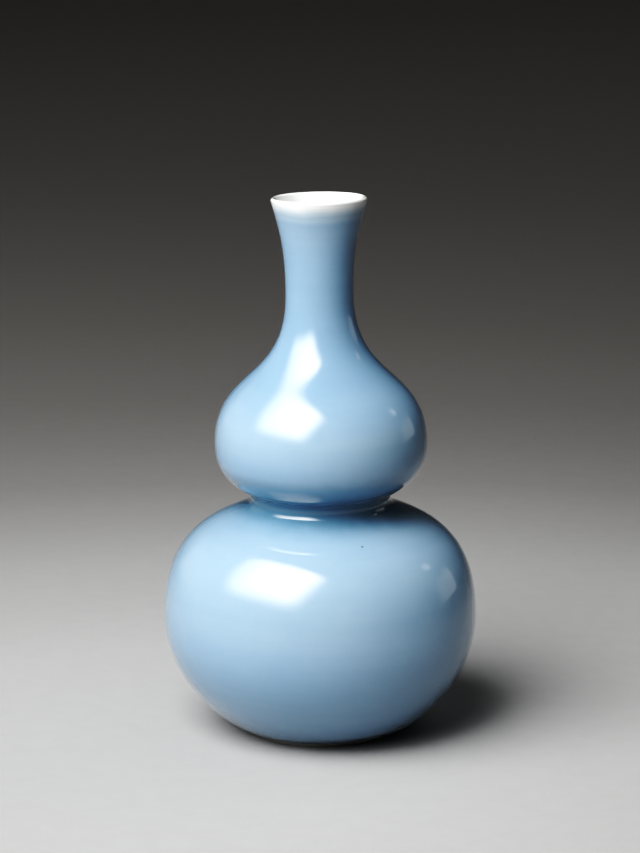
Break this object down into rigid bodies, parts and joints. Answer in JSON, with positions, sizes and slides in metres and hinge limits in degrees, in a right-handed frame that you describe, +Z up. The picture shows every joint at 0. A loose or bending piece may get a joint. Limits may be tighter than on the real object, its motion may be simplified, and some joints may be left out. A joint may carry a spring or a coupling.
{
  "type": "gourd bottle",
  "caption": "Porcelain double-gourd bottle: a large and a small bulb with a pinched waist, a slim flared neck, sky-blue glaze and a white rim on a low foot ring.",
  "frame": {"origin": "on the ground under the middle of the foot ring", "axes": "+Z up along the bottle's axis towards the mouth, -Y towards the front, +X to the right as seen from the front; the neck leans slightly towards -X"},
  "size_m": [0.0904, 0.0904, 0.1565],
  "materials": {
    "porcelain_clay": "unglazed white porcelain, smooth and matt",
    "joint_slip": "fired slip, slightly rougher and darker than the clay",
    "sky_blue_glaze": "glossy opaque sky-blue glaze, paler under the rim and deeper where it pools in the waist",
    "clear_glaze": "glossy clear glaze over white porcelain"
  },
  "bodies": {
    "root": {"lower_bulb_bowl": "porcelain_clay", "lower_belly_slip_joint": "joint_slip", "lower_bulb_dome": "porcelain_clay", "waist_slip_joint": "joint_slip", "upper_bulb_bowl": "porcelain_clay", "upper_belly_slip_joint": "joint_slip", "upper_bulb_dome": "porcelain_clay", "neck_slip_joint": "joint_slip", "neck": "porcelain_clay", "outer_glaze": "sky_blue_glaze", "inner_glaze": "clear_glaze", "base_glaze": "clear_glaze"}
  },
  "joints": []
}
